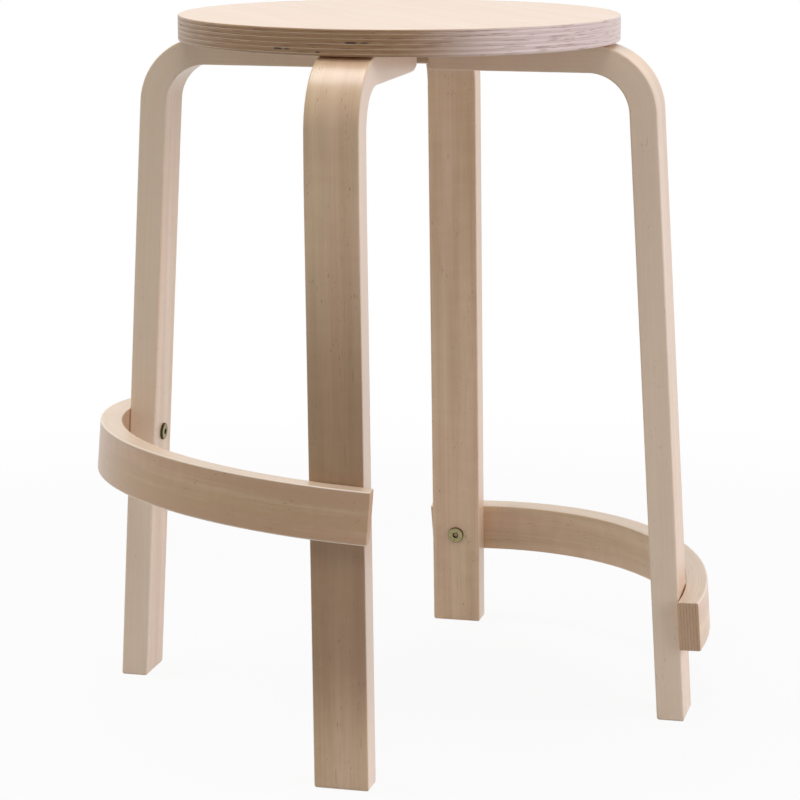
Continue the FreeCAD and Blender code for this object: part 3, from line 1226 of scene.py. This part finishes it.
def set_copies(name: str, seats: list[tuple[Vector, Triple]], form: bpy.types.Mesh,
               material: bpy.types.Material) -> bpy.types.Mesh:
    """Set a copy of a form at each of several places.

    Args:
        name: Name of the tree.
        seats: Place and turn of each copy.
        form: What is copied.
        material: Finish of all copies.

    Returns:
        One mesh with all copies.
    """
    points = bpy.data.meshes.new(name + "_places")
    points.from_pydata([place for place, _ in seats], [], [])
    turns = points.attributes.new("turn", "FLOAT_VECTOR", "POINT")
    for item, (_, turn) in zip(turns.data, seats):
        item.vector = turn
    pattern = host_of(form)
    tree = ShapeTree(name, {"Form": pattern, "Finish": material})
    shape = tree.wire("GeometryNodeObjectInfo", None, {"Object": tree.given("Form")}, "Geometry")
    turn = tree.wire("GeometryNodeInputNamedAttribute", {"data_type": "FLOAT_VECTOR"}, {"Name": "turn"})
    copies = tree.wire("GeometryNodeInstanceOnPoints", None, {
        "Points": tree.given("Geometry"), "Instance": shape, "Rotation": turn})
    mesh = tree.run(host_of(points), copies)
    bpy.data.objects.remove(pattern)
    smooth(mesh)
    return mesh


@dataclass
class Footrest(Piece):
    """One curved footrest: a sweep round its own centre, then set across its two legs.

    The heading is in degrees, and the level is the height of its middle.
    """

    name: str
    heading: float
    level: float
    overhang: float = 0.006
    edge_radius: float = 0.0012
    end_radius: float = 0.00084
    end_angle_limit: float = math.radians(50.0)
    end_steps: int = 4
    seat_clearance: float = 0.0001
    end_slack: float = 0.001
    steps: int = 120

    def build(self) -> bpy.types.Mesh:
        """Build the footrest's mesh."""
        mesh = self._with_eased_ends(self._sweep())
        inner, end_angle = self._inner_radius(), self._end_angle()
        thickness = self.sizes.footrest_thickness

        def place(point: Vector) -> Triple:
            """Along the arc, across the height and in from the outer face."""
            along = math.atan2(point.y, point.x) * (inner + thickness / 2.0)
            return along, point.z, inner + thickness - math.hypot(point.x, point.y)

        def is_end(polygon: bpy.types.MeshPolygon) -> bool:
            """Tell whether a face is one of the two cut ends.

            Args:
                polygon: Face of the footrest, before it is set across its legs.

            Returns:
                True on a cut end.
            """
            if abs(math.atan2(polygon.center.y, polygon.center.x)) < end_angle - self.end_slack / inner:
                return False
            side = math.copysign(1.0, polygon.center.y)
            outwards = Vector((-math.sin(end_angle), side * math.cos(end_angle), 0.0))
            return polygon.normal.dot(outwards) > END_FACING

        store_grain(mesh, place, is_end)
        mesh.transform(self._stand())
        return mesh

    def dress(self, mesh: bpy.types.Mesh) -> bpy.types.Object:
        """Put the footrest in the scene."""
        return self.placed("curved_footrest_" + self.name, mesh, "footrest_birch",
                           "footrest_" + self.name)

    def _seat_distance(self) -> float:
        """Square distance from the footrest's centre to each leg's outer face."""
        return self.sizes.reach(self.sizes.lower_footrest) / math.cos(self.sizes.splay)

    def _inner_radius(self) -> float:
        """Inner radius that touches both long edges of each leg's outer face."""
        sizes = self.sizes
        lean = math.atan(sizes.slope(sizes.upper_footrest))
        aside = sizes.footrest_height / 2.0 * math.tan(sizes.splay + lean)
        half_width = sizes.leg_width / 2.0 - sizes.arris_radius + aside
        return math.hypot(self._seat_distance(), half_width) + self.seat_clearance

    def _tilt(self) -> float:
        """Tilt of the footrest's plane across its two splayed legs."""
        return math.atan(math.tan(self.sizes.splay) * math.sqrt(2.0))

    def _end_angle(self) -> float:
        """Angle from the footrest's middle to its end."""
        tilt, splay = self._tilt(), self.sizes.splay
        leg_angle = math.acos(math.cos(tilt) * math.cos(splay) / math.sqrt(2.0)
                              + math.sin(tilt) * math.sin(splay))
        return leg_angle + math.asin((self.sizes.leg_width / 2.0 + self.overhang) / self._inner_radius())

    def _sweep(self) -> bpy.types.Mesh:
        """Sweep the rounded section along the arc."""
        thickness = self.sizes.footrest_thickness
        tree = ShapeTree("footrest_sweep", {
            "Radius": self._inner_radius() + thickness / 2.0, "Half Angle": self._end_angle(),
            "Height": self.sizes.footrest_height, "Thickness": thickness,
            "Edge Radius": self.edge_radius, "Steps": self.steps, "Finish": self.material})
        arc = tree.wire("GeometryNodeCurveArc", {"mode": "RADIUS"}, {
            "Resolution": tree.given("Steps"), "Radius": tree.given("Radius"),
            "Start Angle": tree.given("Half Angle") * -1.0,
            "Sweep Angle": tree.given("Half Angle") * 2.0})
        section = tree.wire("GeometryNodeCurvePrimitiveQuadrilateral", {"mode": "RECTANGLE"}, {
            "Width": tree.given("Thickness"), "Height": tree.given("Height")})
        rounded = tree.wire("GeometryNodeFilletCurve", {"mode": "POLY"}, {
            "Curve": section, "Count": ARRIS_STEPS, "Radius": tree.given("Edge Radius")})
        skin = tree.wire("GeometryNodeCurveToMesh", None, {
            "Curve": arc, "Profile Curve": rounded, "Fill Caps": True})
        return tree.run(host_of(bpy.data.meshes.new("footrest_" + self.name)), skin)

    def _with_eased_ends(self, mesh: bpy.types.Mesh) -> bpy.types.Mesh:
        """Round the edges of the cut ends, and keep the broad faces flat in the shading.

        Args:
            mesh: The plain sweep.

        Returns:
            The sweep with its ends eased.
        """
        host = host_of(mesh)
        bevel = host.modifiers.new("ends", "BEVEL")
        bevel.width = self.end_radius
        bevel.segments = self.end_steps
        bevel.limit_method = "ANGLE"
        bevel.angle_limit = self.end_angle_limit
        host.modifiers.new("flats", "WEIGHTED_NORMAL")
        smooth(mesh)
        return worked_out(host)

    def _stand(self) -> Matrix:
        """Placement from the footrest's own centre to the stool."""
        aside = self.sizes.spread(self.level) * math.sqrt(2.0)
        height = self.level - self._seat_distance() * math.sin(self.sizes.splay)
        return (Matrix.Rotation(math.radians(self.heading), 4, "Z")
                @ Matrix.Translation((-aside, 0.0, height)) @ Matrix.Rotation(-self._tilt(), 4, "Y"))


@dataclass(frozen=True)
class Void:
    """A small hole in the edge of a core ply: turn in degrees, ply, half length and depth in mm."""

    turn: float
    ply: int
    half_length: float
    depth: float


@dataclass
class PlywoodSeat(Piece):
    """The round seat, with its edges eased and small open voids in the core plies."""

    finish: SeatPlywood
    edge_radius: float = 0.0016
    face_support: float = 0.0008
    cap_inset: float = 0.03
    edge_steps: int = 8
    rows_per_ply: int = 4
    around: int = 720
    void_half_height: float = 0.85 * MM
    void_steepness: float = 2.5
    # Void depth at which the painted shade in a void is full.
    void_shade_depth: float = 0.35 * MM
    voids: tuple[Void, ...] = (
        Void(-88.0, 5, 5.5, 1.2), Void(-84.6, 5, 4.6, 0.3), Void(-107.1, 2, 4.5, 1.0),
        Void(-104.6, 2, 3.0, 0.3), Void(-100.5, 1, 6.5, 0.12), Void(-96.4, 1, 1.7, 0.8),
        Void(38.0, 6, 4.0, 1.0), Void(41.0, 6, 4.0, 0.25), Void(121.0, 3, 6.0, 1.2),
        Void(166.0, 8, 3.0, 0.8), Void(-152.0, 7, 2.4, 0.8))

    def build(self) -> bpy.types.Mesh:
        """Build the seat's mesh, and store how deep each point lies in a void, as a share of painted
        shade.
        """
        rings = []
        void_shade = []
        for radius, height in self._profile():
            on_rim = radius > self.sizes.seat_radius - NEXT_TO_NOTHING
            ring = []
            for index in range(self.around):
                turn = 2.0 * math.pi * index / self.around
                depth = self._void_depth(turn, height) if on_rim else 0.0
                ring.append(Vector(((radius - depth) * math.cos(turn),
                                    (radius - depth) * math.sin(turn), height)))
                void_shade.append(min(depth / self.void_shade_depth, 1.0))
            rings.append(ring)
        mesh = lofted("seat_disc", rings)
        store(mesh, "void", "POINT", void_shade)
        return mesh

    def dress(self, mesh: bpy.types.Mesh) -> bpy.types.Object:
        """Put the seat in the scene."""
        return self.placed("plywood_seat", mesh, "seat_plywood", "seat")

    def _profile(self) -> list[Pair]:
        """Radius and height of each row, from under the seat, up the edge and over its top."""
        low, high, rim = self.sizes.seat_underside, self.sizes.seat_top, self.sizes.seat_radius
        ease = self.edge_radius
        flat = (rim - self.cap_inset, rim - ease - self.face_support)
        turn = [(ease * (1.0 - math.sin(angle)), ease * (1.0 - math.cos(angle)))
                for angle in quarter(self.edge_steps)]
        rows = [(radius, low) for radius in flat]
        rows += [(rim - inwards, low + up) for inwards, up in turn]
        levels = self.finish.plies * self.rows_per_ply
        height = high - low - 2.0 * ease
        rows += [(rim, low + ease + height * level / levels) for level in range(1, levels)]
        rows += [(rim - inwards, high - down) for inwards, down in reversed(turn)]
        rows += [(radius, high) for radius in reversed(flat)]
        return rows

    def _void_depth(self, turn: float, height: float) -> float:
        """How deep the edge lies below the rim.

        Args:
            turn: Angle round the seat.
            height: Height on the edge.

        Returns:
            The depth, 0 outside the voids.
        """
        ply = self.finish.thickness / self.finish.plies
        deepest = 0.0
        for void in self.voids:
            aside = (turn - math.radians(void.turn) + math.pi) % (2.0 * math.pi) - math.pi
            above = height - self.sizes.seat_underside - ply * (void.ply + 0.5)
            share = math.hypot(aside * self.sizes.seat_radius / (void.half_length * MM),
                               above / self.void_half_height)
            if share < 1.0:
                deepest = max(deepest, void.depth * MM * min(1.0, self.void_steepness * (1.0 - share)))
        return deepest


@dataclass
class FootrestBolts(Piece):
    """The four furniture bolts that hold the footrests, their heads on the legs' inner faces."""

    legs: tuple[LegPlan, ...]
    head_radius: float = 0.0075
    head_height: float = 0.0024
    head_round: float = 0.0011
    head_support: float = 0.0003
    head_steps: int = 6
    shank_radius: float = 0.003
    shank_length: float = 0.0362
    tip_chamfer: float = 0.0008
    fine_chamfer: float = 0.0001
    neck: float = 0.0002
    socket_flats: float = 0.004
    socket_depth: float = 0.0028
    socket_wall_top: float = 0.0006
    socket_draft: float = 0.00005
    lip_width: float = 0.0005
    lip_depth: float = 0.0002
    rim_width: float = 0.0004
    # Share of painted shade round the head's rim.
    rim_shade: float = 0.8

    def build(self) -> bpy.types.Mesh:
        """Build one bolt and set it at the four places."""
        return set_copies("bolt_copies", [self._seat(leg) for leg in self.legs], self._bolt(),
                          self.material)

    def dress(self, mesh: bpy.types.Mesh) -> bpy.types.Object:
        """Put the bolts in the scene."""
        return self.placed("footrest_bolts", mesh, "yellow_zinc",
                           *["footrest_bolt_" + leg.name for leg in self.legs])

    def _seat(self, leg: LegPlan) -> tuple[Vector, Triple]:
        """Place of the head's seat on a leg's inner face, and the turn from +Z to the bolt's line.

        Args:
            leg: The leg that the bolt goes through.

        Returns:
            Place and turn.
        """
        sizes = self.sizes
        local = Vector((sizes.reach(leg.level) - sizes.leg_thickness * math.cos(sizes.splay),
                        leg.side * sizes.spread(leg.level),
                        leg.level - sizes.leg_thickness * math.sin(sizes.splay)))
        turn = Matrix.Rotation(math.radians(leg.heading), 3, "Z")
        tip = turn @ Matrix.Rotation(math.pi / 2.0 - sizes.splay, 3, "Y")
        return turn @ local, tuple(tip.to_euler())

    def _lip(self) -> float:
        """Radius of the lip round the socket."""
        return self.socket_flats / math.sqrt(3.0) + self.lip_width

    def _bolt(self) -> bpy.types.Mesh:
        """One bolt along +Z: head below 0, shank above, a hexagon socket in the head."""
        mesh = lofted("bolt_form", self._socket_rings() + turned(self._outline()))
        # Store the painted shade of the socket and the head's rim for each point.
        store(mesh, "grime", "POINT", [self._painted_shade(vertex.co) for vertex in mesh.vertices])
        return mesh

    def _outline(self) -> list[Pair]:
        """Radius and height of each row, from the lip over the head to the shank's tip."""
        head, shank, top = self.head_radius, self.shank_radius, -self.head_height
        outline = [(self._lip(), top), (head - self.head_round - self.head_support, top)]
        outline += [(head - self.head_round * (1.0 - math.sin(angle)),
                     top + self.head_round * (1.0 - math.cos(angle)))
                    for angle in quarter(self.head_steps)]
        outline += [(head, -self.fine_chamfer), (head - self.fine_chamfer, 0.0),
                    (shank + self.neck, 0.0), (shank, self.neck),
                    (shank, self.shank_length - self.tip_chamfer),
                    (shank - self.tip_chamfer, self.shank_length), (TIP_RADIUS, self.shank_length)]
        return outline

    def _socket_rings(self) -> list[Ring]:
        """Rings of the hexagon socket, from its floor up to its lip."""
        top, flat = -self.head_height, math.pi / 3.0

        def wall(draft: float) -> Callable[[float], float]:
            """Radius of the hexagon, drawn in by a draft."""
            return lambda turn: self.socket_flats / 2.0 / math.cos(turn % flat - flat / 2.0) - draft

        return [ring_round(wall(self.socket_draft), top + self.socket_depth),
                ring_round(wall(0.0), top + self.socket_wall_top),
                *turned([(self._lip() - self.fine_chamfer, top + self.lip_depth)])]

    def _painted_shade(self, point: Vector) -> float:
        """Painted shade on a point of the bolt: in the socket, and round the head's rim.

        Args:
            point: The point, on the bolt along +Z.

        Returns:
            How much painted shade it gets, 0 to 1.
        """
        radius = math.hypot(point.x, point.y)
        below = point.z + self.head_height
        if radius < self._lip() + self.fine_chamfer and self.fine_chamfer < below < self.head_height:
            return 1.0
        at_rim = radius > self.head_radius - self.rim_width
        return self.rim_shade if at_rim and below < self.head_height + self.fine_chamfer else 0.0


@dataclass
class SeatScrews(Piece):
    """The twelve countersunk screws that hold the arms, their heads flush under the arms."""

    legs: tuple[LegPlan, ...]
    distances: tuple[tuple[str, float], ...] = (("inner", 0.055), ("middle", 0.100), ("outer", 0.145))
    seed: int = 5
    head_radius: float = 0.0048
    head_rim: float = 0.0005
    head_height: float = 0.0028
    shank_radius: float = 0.0025
    length: float = 0.040
    tip_length: float = 0.004
    recess_reach: float = 0.0023
    recess_half_width: float = 0.00055
    recess_depth: float = 0.0020
    floor_share: float = 0.55
    waist_share: float = 0.9

    def build(self) -> bpy.types.Mesh:
        """Build one screw and set it at the twelve places, each turned as it was driven."""
        underside = self.sizes.seat_underside - self.sizes.leg_thickness
        chance = random.Random(self.seed)
        seats = []
        for leg in self.legs:
            heading = math.radians(leg.heading)
            for _, distance in self.distances:
                place = Vector((distance * math.cos(heading), distance * math.sin(heading), underside))
                seats.append((place, (0.0, 0.0, chance.uniform(0.0, math.pi))))
        return set_copies("screw_copies", seats, self._screw(), self.material)

    def dress(self, mesh: bpy.types.Mesh) -> bpy.types.Object:
        """Put the screws in the scene."""
        return self.placed("seat_screws", mesh, "screw_steel",
                           *[f"seat_screw_{leg.name}_{place}"
                             for leg in self.legs for place, _ in self.distances])

    def _screw(self) -> bpy.types.Mesh:
        """One screw along +Z, its head down at 0, with a cross recess."""
        recess = [ring_round(self._cross(self.floor_share), self.recess_depth),
                  ring_round(self._cross(1.0), 0.0)]
        return lofted("screw_form", recess + turned([
            (self.head_radius, 0.0), (self.head_radius, self.head_rim),
            (self.shank_radius, self.head_height), (self.shank_radius, self.length - self.tip_length),
            (TIP_RADIUS, self.length)]))

    def _cross(self, share: float) -> Callable[[float], float]:
        """Outline of the cross recess.

        Args:
            share: Share of its full reach.

        Returns:
            What gives its radius at a turn.
        """
        half, reach = self.recess_half_width, self.recess_reach * share

        def radius_at(turn: float) -> float:
            """Radius at a turn, no less than at the waist between two arms of the cross."""
            small, large = sorted((abs(math.cos(turn)), abs(math.sin(turn))))
            beside = half / small if small > NEXT_TO_NOTHING else reach
            return max(min(beside, reach / large), half * math.sqrt(2.0) * self.waist_share)

        return radius_at


@dataclass(frozen=True)
class StudioPaper(Finish):
    """Plain white floor that shows as paper white and keeps the stool's soft shadow.

    near and far are in millimetres: the floor's light falls off between them.
    """

    shown_near: float = 0.92
    near: float = 350.0
    far: float = 1300.0

    def make(self) -> bpy.types.Material:
        """Build the material: mostly light of its own where the camera or a gloss sees it."""
        recipe = Recipe(self.name)
        place = recipe.millimetres()
        x, y, _ = recipe.parts(place)
        away = recipe.rise(recipe.maths("SQRT", x * x + y * y), self.near, self.far)
        paper = recipe.mix(recipe.noise(place, Noise((2.0, 2.0, 2.0))), grey(0.74), grey(0.70))
        diffuse = recipe.wire("ShaderNodeBsdfDiffuse", None, {0: recipe.mix(away, paper, grey(0.14))})
        glow = recipe.wire("ShaderNodeEmission", None, {0: grey(1.0), 1: 1.0})
        share = self.shown_near + away * (1.0 - self.shown_near)
        mixed = recipe.wire("ShaderNodeMixShader", None, {0: recipe.seen() * share, 1: diffuse, 2: glow})
        recipe.node("ShaderNodeOutputMaterial", None, {0: mixed})
        return recipe.material


@dataclass(frozen=True)
class Softbox:
    """One square studio lamp, with its size in metres and its power in watts."""

    name: str
    place: Triple
    target: Triple
    size: float
    power: float
    colour: Triple = (1.0, 1.0, 1.0)
    mirrored: bool = False

    def hang(self) -> None:
        """Put the lamp in the scene."""
        lamp = bpy.data.lights.new(self.name, "AREA")
        lamp.shape = "SQUARE"
        lamp.size = self.size
        lamp.energy = self.power
        lamp.color = self.colour
        holder = bpy.data.objects.new(self.name, lamp)
        holder.location = self.place
        holder.visible_glossy = self.mirrored
        towards = Vector(self.target) - Vector(self.place)
        holder.rotation_euler = towards.to_track_quat("-Z", "Y").to_euler()
        bpy.context.scene.collection.objects.link(holder)


@dataclass(frozen=True)
class Camera:
    """The photograph's view: place in metres, angles in degrees, lens in millimetres."""

    place: Triple = (0.5733, -2.3416, 0.7756)
    pitch: float = -11.84
    heading: float = 13.743
    lens: float = 125.35
    sensor: float = 36.0

    def set_up(self) -> None:
        """Make the scene's camera."""
        data = bpy.data.cameras.new("studio_camera")
        data.lens = self.lens
        data.sensor_width = self.sensor
        camera = bpy.data.objects.new("studio_camera", data)
        camera.location = self.place
        camera.rotation_euler = (math.radians(90.0 + self.pitch), 0.0, math.radians(self.heading))
        bpy.context.scene.collection.objects.link(camera)
        bpy.context.scene.camera = camera


@dataclass
class Studio:
    """Floor, lamps, surroundings and camera."""

    lamps: list[Softbox]
    camera: Camera
    floor_size: float = 9.0
    surround: float = 0.15

    def set_up(self) -> None:
        """Build the studio."""
        self._floor()
        self._surroundings()
        for lamp in self.lamps:
            lamp.hang()
        self.camera.set_up()
        bpy.context.scene.view_settings.view_transform = "Standard"

    def _floor(self) -> None:
        """Plain floor at the feet's level."""
        half = self.floor_size / 2.0
        mesh = bpy.data.meshes.new("studio_floor")
        mesh.from_pydata([(-half, -half, 0.0), (half, -half, 0.0), (half, half, 0.0), (-half, half, 0.0)],
                         [], [(0, 1, 2, 3)])
        floor = bpy.data.objects.new("studio_floor", mesh)
        bpy.context.scene.collection.objects.link(floor)
        mesh.materials.append(StudioPaper("studio_paper").make())

    def _surroundings(self) -> None:
        """Soft light from all sides, shown as plain white behind the stool."""
        world = bpy.data.worlds.new("studio")
        world.use_nodes = True
        nodes = Nodes(world.node_tree)
        strength = nodes.wire("ShaderNodeMapRange", None, {0: nodes.seen(), 3: self.surround, 4: 1.0})
        background = nodes.wire("ShaderNodeBackground", None, {0: grey(1.0), 1: strength})
        nodes.node("ShaderNodeOutputWorld", None, {0: background})
        bpy.context.scene.world = world


def dress_inserts(legs: tuple[LegPlan, ...]) -> None:
    """Give the hidden threaded inserts their zinc.

    Args:
        legs: The legs, each of which has an insert of its own name.
    """
    material = PlatedSteel("insert_zinc", Plating.BRIGHT_ZINC).make()
    for leg in legs:
        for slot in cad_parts["threaded_insert_" + leg.name].material_slots:
            slot.material = material
        LOG.info("threaded_insert_%s: dressed", leg.name)


def main() -> None:
    """Build and dress the stool, piece by piece."""
    logging.basicConfig(level=logging.INFO, format="%(message)s")
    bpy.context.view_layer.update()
    sizes = StoolSizes.from_frame()
    upper, lower = sizes.upper_footrest, sizes.lower_footrest
    # The front leg carries painted shade down the middle of its shank.
    legs = (LegPlan("front", -90.0, 1.0, upper, 21, -0.14, shank_shade=0.9, tip_length=0.018,
                    tip_rise=0.0075),
            LegPlan("left", 180.0, -1.0, upper, 22, 0.08),
            LegPlan("right", 0.0, -1.0, lower, 23, 0.02),
            # The rear leg's narrow faces get less painted light.
            LegPlan("rear", 90.0, 1.0, lower, 24, -0.04, painted_side_light=0.25))
    for leg in legs:
        BentLeg(sizes, leg.finish(sizes), leg).add()
    for name, heading, level, seed, tone in (("upper", 225.0, upper, 41, -0.42),
                                             ("lower", 45.0, lower, 42, -0.06)):
        figure = BirchFigure(seed, pith_depth=300.0, contrast=0.8, tone=tone)
        laminated = LaminatedBirch("birch_footrest_" + name, figure, 7, sizes.footrest_thickness,
                                   sizes.footrest_height / MM / 2.0)
        Footrest(sizes, laminated, name, heading, level).add()
    veneer = BirchFigure(61, pith_depth=300.0, flecks=0.2, contrast=0.35, tone=0.04, colours=BirchColours(
        deep=rgb(200, 168, 136), body=rgb(224, 198, 174), pale=rgb(238, 222, 204)))
    plywood = SeatPlywood("birch_plywood", veneer, sizes.seat_underside,
                          sizes.seat_top - sizes.seat_underside, sizes.seat_radius, 11,
                          math.radians(126.0))
    PlywoodSeat(sizes, plywood).add()
    FootrestBolts(sizes, PlatedSteel("yellow_zinc_plating", Plating.YELLOW_ZINC), legs).add()
    SeatScrews(sizes, PlatedSteel("screw_plating", Plating.BRIGHT_ZINC), legs).add()
    dress_inserts(legs)
    Studio([
        Softbox("right_box", (2.6, -0.35, 0.95), (0.0, 0.0, 0.35), 1.9, 44.0, COOL_LIGHT),
        Softbox("left_box", (-2.6, -0.6, 1.3), (0.0, 0.0, 0.35), 1.8, 22.0),
        Softbox("back_box", (0.0, 2.8, 1.5), (0.0, 0.0, 0.35), 1.8, 20.0),
        Softbox("top_box", (-0.4, 0.0, 2.9), (0.0, 0.0, 0.5), 1.2, 34.0, mirrored=True),
        Softbox("front_box", (0.3, -1.5, 1.9), (0.0, 0.0, 0.4), 1.0, 8.0),
    ], Camera()).set_up()


if __name__ == "__main__":
    main()
